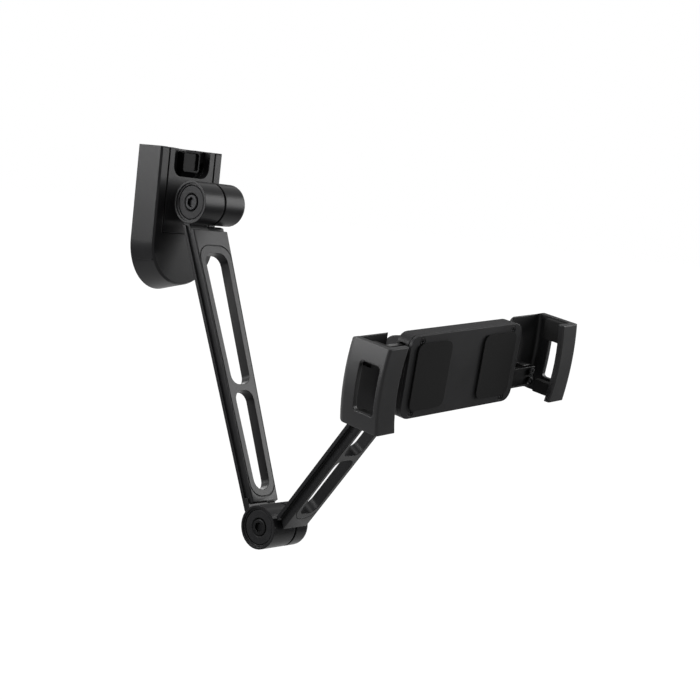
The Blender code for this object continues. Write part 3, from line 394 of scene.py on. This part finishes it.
# Head and ball
# A cast fork bolted across the end of the front arm carries a turned steel ball on a stem.
dressed("head_fork", coated)
dressed("head_bolt", black_steel)
dressed("head_nut", black_steel)
dressed("ball_stud", black_steel)


# Ball clamp
# Two nylon rings hold the ball inside the holder's split neck, and a fluted nut squeezes them.
dressed("ball_band", black_nylon)
dressed("ball_seat", black_nylon)
dressed("clamp_collar", plastic)


# Holder
# A moulded box in two halves, screwed together near its corners. Inside, one pinion meshes
# with both jaws' steel racks, so that the jaws move together.
dressed("holder_back", plastic)
dressed("holder_front", plastic)
for corner in range(1, 5):
    dressed(f"cover_screw_{corner}", black_steel)
dressed("pinion", plastic)
dressed("pinion_washer", steel)


# Rubber pads
# Two strips of soft black rubber, glued to the holder's front so that it grips and can't scratch.
def rubber():
    finish, shader, place = new_finish("black_rubber")
    bloom = place.noise(scale=240, detail=4)
    grain = place.noise(scale=2600, detail=2)
    black, greyer = (0.005, 0.005, 0.005), (0.009, 0.009, 0.009)
    place.feed(
        shader,
        {
            "Base Color": bloom.blend(black, greyer),
            "Roughness": 0.7 + bloom * 0.15,
            "Specular IOR Level": 0.06,
            "Normal": soft_edges(radius=0.0003, relief=grain, depth=0.00004, strength=0.4),
        },
    )
    return finish


soft_black = rubber()
dressed("front_pad_left", soft_black)
dressed("front_pad_right", soft_black)


# Jaws
# Each is a moulded bracket with an open window in its side and a lip turned in at its front,
# screwed to the end of its steel rack and lined with two rubber pads.
def soft_plastic():
    """The jaws' plastic, a little glossier than the holder's."""
    finish, shader, place = new_finish("jaw_plastic")
    sparks = place.noise(scale=2600, detail=3, roughness=0.6)
    drift = place.noise(scale=60, detail=2)
    black, greyer = (0.008, 0.008, 0.0085), (0.012, 0.012, 0.0125)
    place.feed(
        shader,
        {
            "Base Color": drift.blend(black, greyer),
            "Roughness": 0.36 + drift * 0.08 + sparks * 0.06 + dust(place) * 0.4,
            "Specular IOR Level": 0.2,
            "Normal": soft_edges(radius=0.0009, relief=sparks, depth=0.00003, strength=0.35),
        },
    )
    return finish


def quarter(depth, height, radius, start):
    """Points of a quarter circle about that depth and height, from the start angle in degrees."""
    steps = 8
    turns = [math.radians(start + 90 * step / steps) for step in range(steps + 1)]
    return [(depth + radius * math.cos(turn), height + radius * math.sin(turn)) for turn in turns]


def rounded(vector):
    """The vector to five decimal places, a hundredth of a millimetre for one in metres."""
    return Vector([round(value, 5) for value in vector])


# The jaws slide square to the ball's axis, and their middle stands 1.3 mm beside it. Depths
# count toward the wall from 24 mm in front of the ball.
ball_depth, jaw_shift = 0.024, 0.0013
ball_centre = Vector(joint_of["ball_roll"]["pos_m"])
depthward = Vector(joint_of["ball_roll"]["axis"])
across = Vector(joint_of["right_jaw_slide"]["axis"])
jaw_middle = rounded(ball_centre - depthward * ball_depth + across * jaw_shift)
across, depthward = rounded(across), rounded(depthward)
upright = across.cross(depthward)
jaw_turn = Matrix((across, depthward, upright)).transposed().to_4x4()
jaw_place = Matrix.Translation(jaw_middle) @ jaw_turn

jaw_front, jaw_rear, jaw_half_height, jaw_corner = -0.01, 0.0225, 0.0211, 0.0048
jaw_outline = (
    [(jaw_front, -jaw_half_height)]
    + quarter(jaw_rear - jaw_corner, jaw_corner - jaw_half_height, jaw_corner, -90)
    + quarter(jaw_rear - jaw_corner, jaw_half_height - jaw_corner, jaw_corner, 0)
    + [(jaw_front, jaw_half_height)]
)
window_front, window_rear, window_foot, window_top = -0.0006, 0.012, -0.0125, 0.0118
window_corner, overcut = 0.0018, 0.00002
front_turn, rear_turn = window_front + window_corner, window_rear - window_corner
foot_turn, top_turn = window_foot + window_corner, window_top - window_corner
window_outline = (
    quarter(rear_turn, foot_turn, window_corner + overcut, -90)
    + quarter(rear_turn, top_turn, window_corner + overcut, 0)
    + quarter(front_turn, top_turn, window_corner + overcut, 90)
    + quarter(front_turn, foot_turn, window_corner + overcut, 180)
)
jaw_inside, wall_inside, beyond = 0.04, 0.0705, 0.09
jaw_plastic = soft_plastic()
for side, sign in (("left", -1), ("right", 1)):
    jaw = dressed(f"{side}_jaw", jaw_plastic)
    whole_jaw = sorted((sign * jaw_inside, sign * beyond))
    carve(jaw, "INTERSECT", prism("jaw_round", jaw_outline, whole_jaw, jaw_place))
    side_wall = sorted((sign * wall_inside, sign * beyond))
    carve(jaw, "DIFFERENCE", prism("jaw_window", window_outline, side_wall, jaw_place))
    dressed(f"{side}_rack", black_steel)
    for level in ("lower", "upper"):
        dressed(f"{side}_pad_{level}", soft_black)
        dressed(f"{side}_jaw_screw_{level}", black_steel)


# Studio
# A white paper floor far below and a white room. Five soft lamps draw the mount's edges, and
# two black cards keep its undersides dark.
def is_seen(shade):
    """1 where the ray comes from the camera, a gloss or a clear surface."""
    kinds = ("Camera", "Glossy", "Transmission")
    rays = [shade.node("LightPath", output=f"Is {kind} Ray") for kind in kinds]
    return shade.maths("MINIMUM", rays[0] + rays[1] + rays[2], 1)


def cleared(owner):
    """The start of a new set of nodes for the owner, in place of its own."""
    owner.use_nodes = True
    owner.node_tree.nodes.clear()
    return Shade(owner.node_tree)


def flat_sheet(name, size, level, material):
    """A level sheet that isn't part of the mount."""
    shape = bmesh.new()
    bmesh.ops.create_grid(shape, x_segments=1, y_segments=1, size=0.5)
    bmesh.ops.scale(shape, verts=shape.verts, vec=(*size, 1))
    bmesh.ops.translate(shape, verts=shape.verts, vec=(0, 0, level))
    sheet = new_object(name, shape)
    sheet.data.materials.append(material)
    return sheet


def aim(thing, place, target, front):
    """Puts the thing there, with its front axis toward the target."""
    thing.location = place
    thing.rotation_euler = (Vector(target) - Vector(place)).to_track_quat(front, "Y").to_euler()


def soft_lamp(name, place, target, size, brightness):
    """A flat lamp that faces the target and looks that bright itself, where white is 1."""
    width, height = size
    data = bpy.data.lights.new(name, "AREA")
    data.shape = "RECTANGLE"
    data.size = width
    data.size_y = height
    data.energy = brightness * math.pi * width * height
    lamp = bpy.data.objects.new(name, data)
    aim(lamp, place, target, "-Z")
    bpy.context.scene.collection.objects.link(lamp)


def dark_card(name, place, target, size):
    """A black card that faces the target, outside the picture."""
    card = flat_sheet(name, size, level=0, material=black_card)
    aim(card, place, target, "Z")
    card.visible_camera = False


# Under the mount the paper glows a little less, so that it can show a soft shadow.
white = (1, 1, 1, 1)
paper = bpy.data.materials.new("paper")
shade = cleared(paper)
matt = shade.node("BsdfDiffuse", {"Color": (0.9, 0.9, 0.9, 1)})
glow = shade.node("Emission", {"Color": white, "Strength": 1.05})
spot = shade.node("TexCoord", output="Object")
distance = shade.node("VectorMath", {0: spot}, output="Value", operation="LENGTH")
near_to_far = {"From Min": 0.4, "From Max": 1.5, "To Min": 0.8, "To Max": 1}
share = shade.node("MapRange", {"Value": distance, **near_to_far})
lit = shade.node("MixShader", {0: is_seen(shade) * share, 1: matt, 2: glow})
shade.node("OutputMaterial", {"Surface": lit})
flat_sheet("floor", size=(80, 80), level=-0.55, material=paper)

room = bpy.data.worlds.new("room")
bpy.context.scene.world = room
shade = cleared(room)
dim = shade.node("Background", {"Color": white, "Strength": 0.12})
bright = shade.node("Background", {"Color": white, "Strength": 1})
both = shade.node("MixShader", {0: is_seen(shade), 1: dim, 2: bright})
shade.node("OutputWorld", {"Surface": both})

middle = (0, -0.12, -0.06)
housing_front = (0, -0.02, 0)
left_jaw_side = (-0.08, -0.2, -0.05)
soft_lamp("front_lamp", (0.90, -0.70, 0.29), middle, size=(0.5, 0.68), brightness=13)
soft_lamp("side_lamp", (-0.62, 0.52, 0.26), housing_front, size=(0.24, 0.48), brightness=24)
soft_lamp("jaw_lamp", (-0.56, 0.14, 0.14), left_jaw_side, size=(0.16, 0.4), brightness=16)
soft_lamp("top_lamp", (-0.2, -0.3, 1.1), middle, size=(0.7, 0.6), brightness=6)
soft_lamp("back_lamp", (0.35, 1.0, 0.45), middle, size=(0.6, 0.6), brightness=7)

black_card, card_shader, card_spot = new_finish("black_card")
card_spot.feed(card_shader, {"Base Color": (0.02, 0.02, 0.02, 1), "Roughness": 0.9})
dark_card("front_card", (0.80, -0.68, -0.33), middle, size=(0.8, 0.5))
dark_card("side_card", (-0.60, 0.42, -0.275), middle, size=(0.6, 0.45))

bpy.context.scene.view_settings.view_transform = "Standard"
